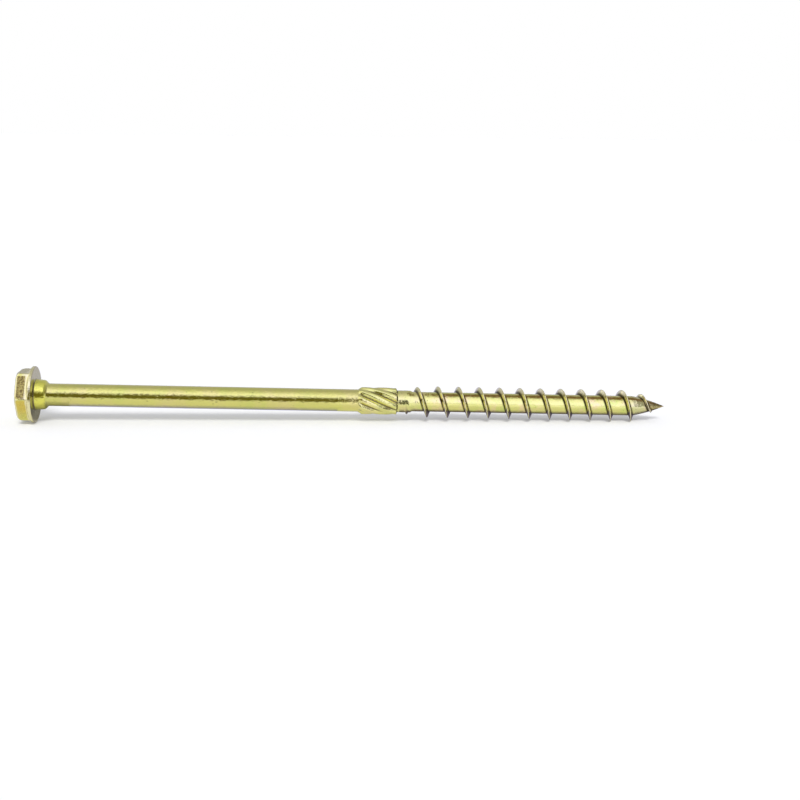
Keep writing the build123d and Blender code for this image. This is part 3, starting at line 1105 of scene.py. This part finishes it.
# %% Shape of the tent
tent_radius, tent_half_length = 0.7, 0.5  # metres
tent_steps = 48
tent_points = []
for turn in np.linspace(0, half_turn, tent_steps + 1):
    y, z = -tent_radius * cos_deg(turn), tent_radius * sin_deg(turn)
    tent_points += [(-tent_half_length, y, z), (tent_half_length, y, z)]
tent_faces = [(k, k + 1, k + 3, k + 2) for k in range(0, 2 * tent_steps, 2)]
only_for_gloss(stage_object("tent", tent_points, tent_faces, tent_material))

for name, first, light in (("tent_end_head", 0, 1.2), ("tent_end_point", 1, 0.4)):
    end_material, tree, glow = emitter(name)
    glow.inputs["Strength"].default_value = light
    rim = tent_points[first::2]
    only_for_gloss(stage_object(name, rim, [tuple(range(len(rim)))], end_material))
print(f"the tent is {2 * tent_half_length:.1f} m long and {tent_radius:.1f} m high")

# %% [markdown]
# ## Cards and flags
# Between the tent and the screw stand small cards. A mirror that is round shows each of them as a
# line along it, so a card's height sets how high that line lies, and its ends say which part of
# the screw has it. Cards with hard edges would draw hard lines, so most of them fade.


# %% A card that fades along one axis
def card(name, corners, colour, axis="Z", fades=()):
    """A glowing card. Each fade is two places along the axis: clear at the first, full at the second."""
    material, tree, glow = emitter(name)
    glow.inputs["Color"].default_value = (*colour, 1)
    shown = 1.0
    for clear, full in fades:
        shown = times(tree, scaled(tree, object_place(tree)[axis], clear * MM, full * MM, 0, 1), shown)
    blend = add_node(tree, "ShaderNodeMixShader", Fac=shown)
    put(tree, blend.inputs[1], tree.nodes.new("ShaderNodeBsdfTransparent").outputs[0])
    put(tree, blend.inputs[2], glow.outputs[0])
    put(tree, tree.nodes["Material Output"].inputs["Surface"], blend.outputs[0])
    only_for_gloss(stage_object(name, corners, [(0, 1, 2, 3)], material))


def beside(place):
    """Where a place along the screw's axis is on the frame's X axis, in metres."""
    return (axis_start.x + place * math.cos(tilt)) * MM


def upright_card(start, end, y, low, high):
    """Corners from one place along the screw to another, at y, from low to high, in millimetres."""
    left, right, y, low, high = beside(start), beside(end), y * MM, low * MM, high * MM
    return [(left, y, low), (right, y, low), (right, y, high), (left, y, high)]


def flat_card(start, end, front, back, z):
    """Corners from one place along the screw to another, from front to back, in millimetres."""
    left, right, front, back, z = beside(start), beside(end), front * MM, back * MM, z * MM
    return [(left, front, z), (right, front, z), (right, back, z), (left, back, z)]


# %% Dark slits for the lens
# Where the camera looks in, the cloth has a gap, which draws the dark line along the shank.
slit_colour = (0.15, 0.13, 0.02)
past_ribs = rib_end + 0.8
at_shank = upright_card(-head_height - 12.5, rib_start + 3.3, -45, 1, 48)
on_table = flat_card(-head_height - 2.5, rib_start + 1, -45, -16, 0.5)
at_neck = upright_card(past_ribs, neck_end + 0.8, -14, 2, 13.6)
card("slit_at_shank", at_shank, slit_colour, "Z", [(48, 27)])
card("slit_on_table", on_table, slit_colour, "Y", [(-30, -45)])
card("slit_at_neck", at_neck, (0.04, 0.035, 0.005), "Z", [(13.6, 11.2)])
print(f"the long slit is {(at_shank[1][0] - at_shank[0][0]) / MM:.0f} mm long")

# %% Cards behind and above
# The grey cards darken the upper edge of the screw, and the flag the upper side of the thread.
middle_of_ribs = rib_start + 6.5
behind, far = 50, 1.5 * screw_length
tall_card = upright_card(-far, middle_of_ribs, behind, 1, 60)
low_card = upright_card(middle_of_ribs, 2 * screw_length, behind, 1, 18)
over_thread = flat_card(thread_start + 11.6, far, -18, 40, 50)
card("grey_card", tall_card, (0.53, 0.53, 0.53))
card("grey_card_at_thread", low_card, (0.62, 0.62, 0.85))
card("black_flag", over_thread, (0.20, 0.13, 0.08), "Y", [(-18, 1), (38, 20)])
print(f"the flag hangs {over_thread[0][2] / MM:.0f} mm over the table")

# %% Strips on the table
# The grey ones deepen the shadow that the metal mirrors, and the bright one lights the thread from
# below. They lie at small heights over the table, and no two that touch or overlap share a plane.
past_collar = collar_end + 5.4
under_shank = flat_card(past_collar, rib_start - 6.5, -8, 20, 0.6)
under_thread = flat_card(past_ribs, screw_length + 0.35, -8, 20, 0.6)
behind_head = flat_card(-0.2, past_collar, -8, 35, 0.8)
in_front = flat_card(rib_start - 7.5, far, -42, -8, 0.4)
card("strip_under_shank", under_shank, (0.38, 0.38, 0.68), "Y", [(-4.5, 0.5)])
card("strip_under_thread", under_thread, (0.15, 0.13, 0.18), "Y", [(-3.5, -0.5)])
card("strip_behind_head", behind_head, (0.22, 0.22, 0.18), "Y", [(-8, 2)])
card("bright_strip", in_front, (1.25, 1.25, 1.5), "Y", [(-8, -30)])

# %% [markdown]
# ## The camera
# A long lens a little above the table, turned a touch, has the whole screw in view. A camera can be
# aimed with a Track To constraint, but its roll then can't be set. Three turns, one after another,
# give all of it: up from looking straight down, round the screw, and the roll.

# %% Camera
camera_place = Vector((-0.0062, -0.40557, 0.09531))
camera_azimuth, camera_dip, camera_roll = 3.295, 12.269, 0.64
camera_data = bpy.data.cameras.new("camera")
camera_data.sensor_width = 36.0
camera_data.lens = 58.583
camera_data.clip_start = 0.01
camera = bpy.data.objects.new("camera", camera_data)
turned = (
    Matrix.Rotation(math.radians(-camera_azimuth), 4, "Z")
    @ Matrix.Rotation(math.radians(90 - camera_dip), 4, "X")
    @ Matrix.Rotation(math.radians(camera_roll), 4, "Z")
)
camera.matrix_world = Matrix.Translation(camera_place) @ turned
bpy.context.scene.collection.objects.link(camera)
bpy.context.scene.camera = camera
bpy.context.scene.view_settings.view_transform = "Standard"
print(f"the camera is {camera_place.length:.2f} m from the middle of the screw")

# %% [markdown]
# ## Both sizes
# The dressed screw must be as large as the solid that it stands for, so both boxes are printed side by side.

# %% Sizes side by side
visual_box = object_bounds()
boxes = {"cad": [list(corner) for corner in cad_box], "visual": [list(corner) for corner in visual_box]}
for name, box in boxes.items():
    print(name, [[round(v / MM, 3) for v in corner] for corner in box])
